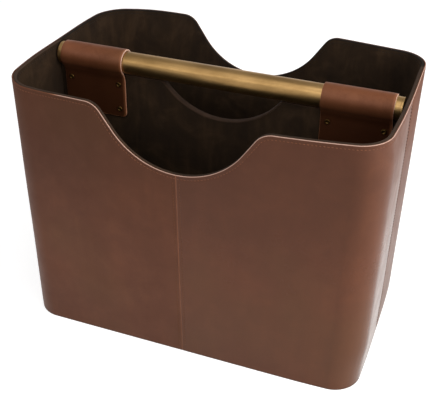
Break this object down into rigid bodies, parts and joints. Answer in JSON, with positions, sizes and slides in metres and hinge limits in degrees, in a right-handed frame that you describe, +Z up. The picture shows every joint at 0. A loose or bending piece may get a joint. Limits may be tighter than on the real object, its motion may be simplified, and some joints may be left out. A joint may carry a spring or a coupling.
{
  "type": "magazine basket",
  "caption": "Leather-covered magazine basket with scooped long walls, a scooped middle divider and a brass tube handle held by riveted leather loops.",
  "frame": {"origin": "middle of the underside, on the surface that the basket stands on", "axes": "+X along the basket's length and the handle, +Y across it towards the back, +Z up"},
  "size_m": [0.406, 0.2606, 0.3068],
  "materials": {
    "wall_leather": "satin, mottled brown leather with a burnished cut edge",
    "loop_leather": "satin, reddish brown strap leather with a pale cut edge",
    "suede": "matt dark brown suede",
    "board": "raw fibreboard, covered on every side",
    "brass": "brushed antique brass"
  },
  "bodies": {
    "basket": {"leather_back_right": "wall_leather", "leather_back_left": "wall_leather", "leather_front_left": "wall_leather", "leather_front_right": "wall_leather", "wall_board": "board", "wall_lining": "suede", "base_cover": "wall_leather", "base_board": "board", "floor_lining_back": "suede", "floor_lining_front": "suede", "divider_board": "board", "divider_face_back": "suede", "divider_face_front": "suede", "divider_binding": "suede", "loop_left": "loop_leather", "loop_right": "loop_leather", "rivet_left_upper_left": "brass", "rivet_left_upper_right": "brass", "rivet_left_lower_left": "brass", "rivet_left_lower_right": "brass", "rivet_right_upper_left": "brass", "rivet_right_upper_right": "brass", "rivet_right_lower_left": "brass", "rivet_right_lower_right": "brass"},
    "handle": {"handle_tube": "brass", "handle_cap_left": "brass", "handle_cap_right": "brass"}
  },
  "joints": [
    {"name": "handle_turn", "type": "hinge", "parent": "basket", "child": "handle", "pos_m": [0, 0, 0.2911], "axis": [1, 0, 0], "continuous": true}
  ]
}
